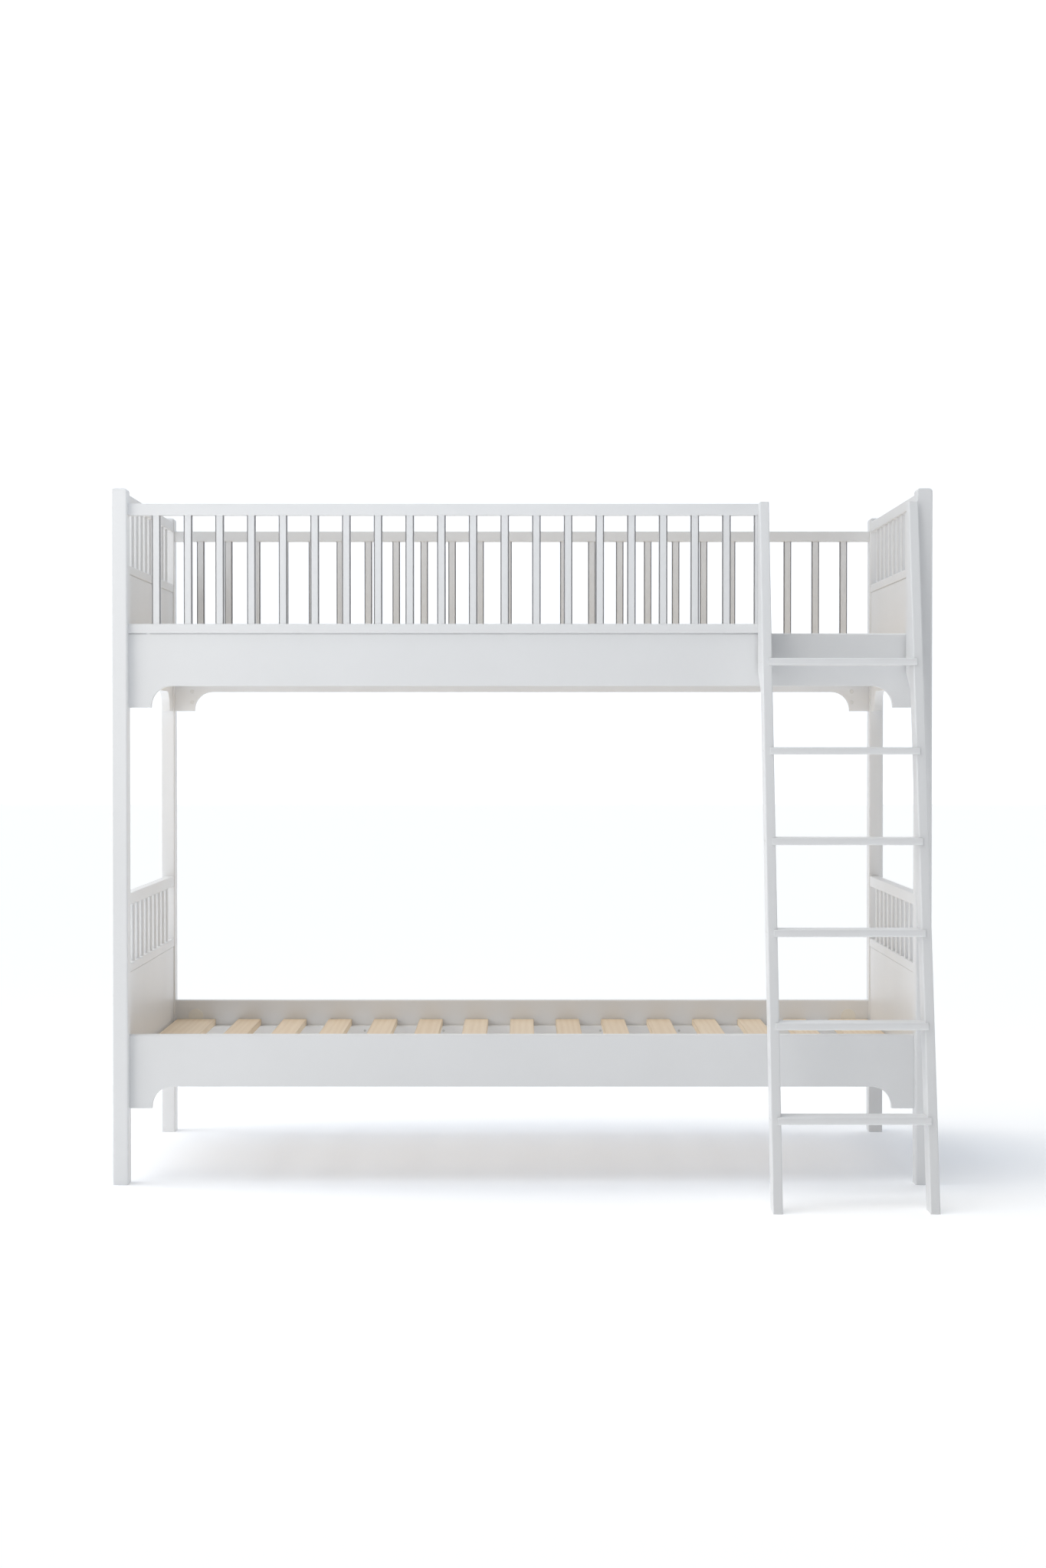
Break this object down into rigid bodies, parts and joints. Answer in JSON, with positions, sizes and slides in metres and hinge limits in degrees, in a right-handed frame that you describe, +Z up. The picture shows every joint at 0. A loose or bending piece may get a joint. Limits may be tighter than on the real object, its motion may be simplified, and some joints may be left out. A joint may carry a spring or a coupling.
{
  "type": "bunk bed with ladder",
  "caption": "White lacquered wooden bunk bed with spindled ends, slatted guards, arched side panels, loose slatted bases and a slanted lift-off ladder.",
  "frame": {"origin": "on the floor under the middle of the whole object's box, the ladder's forward reach included", "axes": "+X along the bed towards the ladder's end, -Y towards the ladder side (front), +Z up"},
  "size_m": [2.08, 1.427, 1.77],
  "materials": {
    "white_lacquer": "satin white lacquer on fine-grained wood",
    "birch": "bare planed birch",
    "zinc_steel": "bright zinc plated",
    "cap_plastic": "matt off-white plastic",
    "webbing": "flat woven tape"
  },
  "bodies": {
    "frame": {"barrel_nuts": "zinc_steel", "bed_bolts": "zinc_steel", "cleat_screws": "zinc_steel", "front_guard_bottom_rail": "white_lacquer", "front_guard_slats": "white_lacquer", "front_guard_top_rail": "white_lacquer", "front_left_post": "white_lacquer", "front_right_post": "white_lacquer", "guard_barrel_nuts": "zinc_steel", "guard_bolts": "zinc_steel", "guard_screws": "zinc_steel", "ladder_hook_pins": "zinc_steel", "lower_front_cleat": "white_lacquer", "lower_front_panel": "white_lacquer", "lower_left_infill": "white_lacquer", "lower_left_mid_rail": "white_lacquer", "lower_left_spindles": "white_lacquer", "lower_left_top_rail": "white_lacquer", "lower_rear_cleat": "white_lacquer", "lower_rear_panel": "white_lacquer", "lower_right_infill": "white_lacquer", "lower_right_mid_rail": "white_lacquer", "lower_right_spindles": "white_lacquer", "lower_right_top_rail": "white_lacquer", "pocket_bolts": "zinc_steel", "pocket_caps": "cap_plastic", "rear_guard_bottom_rail": "white_lacquer", "rear_guard_slats": "white_lacquer", "rear_guard_top_rail": "white_lacquer", "rear_left_post": "white_lacquer", "rear_right_post": "white_lacquer", "upper_front_cleat": "white_lacquer", "upper_front_panel": "white_lacquer", "upper_left_infill": "white_lacquer", "upper_left_mid_rail": "white_lacquer", "upper_left_spindles": "white_lacquer", "upper_left_top_rail": "white_lacquer", "upper_rear_cleat": "white_lacquer", "upper_rear_panel": "white_lacquer", "upper_right_infill": "white_lacquer", "upper_right_mid_rail": "white_lacquer", "upper_right_spindles": "white_lacquer", "upper_right_top_rail": "white_lacquer"},
    "ladder": {"hook_plate_screws": "zinc_steel", "ladder_hook_plates": "zinc_steel", "ladder_left_stile": "white_lacquer", "ladder_right_stile": "white_lacquer", "tread_1": "white_lacquer", "tread_2": "white_lacquer", "tread_3": "white_lacquer", "tread_4": "white_lacquer", "tread_5": "white_lacquer", "tread_6": "white_lacquer", "tread_screws": "zinc_steel"},
    "lower_base": {"lower_end_slats": "birch", "lower_slat_tapes": "webbing", "lower_slats": "birch"},
    "upper_base": {"upper_end_slats": "birch", "upper_slat_tapes": "webbing", "upper_slats": "birch"}
  },
  "joints": [
    {"name": "ladder_lift", "type": "slide", "parent": "frame", "child": "ladder", "axis": [0, 0, 1], "range_m": [0, 0.12]},
    {"name": "lower_base_lift", "type": "slide", "parent": "frame", "child": "lower_base", "axis": [0, 0, 1], "range_m": [0, 0.1]},
    {"name": "upper_base_lift", "type": "slide", "parent": "frame", "child": "upper_base", "axis": [0, 0, 1], "range_m": [0, 0.42]}
  ]
}
